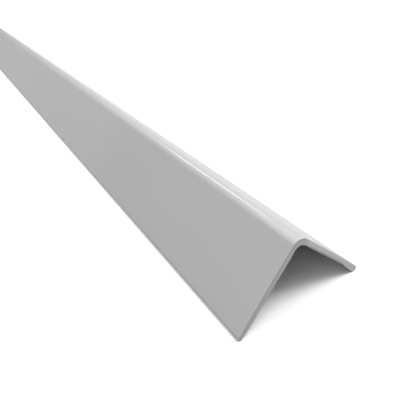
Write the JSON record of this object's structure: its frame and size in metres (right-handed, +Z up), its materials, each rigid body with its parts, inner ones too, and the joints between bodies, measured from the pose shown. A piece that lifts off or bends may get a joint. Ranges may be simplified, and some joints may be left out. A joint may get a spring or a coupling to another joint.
{
  "type": "corner guard moulding",
  "caption": "Plain rigid plastic angle moulding with a rounded corner and tapering, slightly bowed legs that toe in, bonded over an outside wall corner to guard it from knocks.",
  "frame": {"origin": "on the floor under the ridge, half way along the stock", "axes": "+X along the stock, +Y across it towards one leg, +Z up through the ridge"},
  "size_m": [1, 0.068, 0.0355],
  "materials": {
    "plastic": "smooth semi-gloss grey rigid PVC, through-coloured, with matt saw-cut ends"
  },
  "bodies": {
    "root": {"corner_guard": "plastic"}
  },
  "joints": []
}
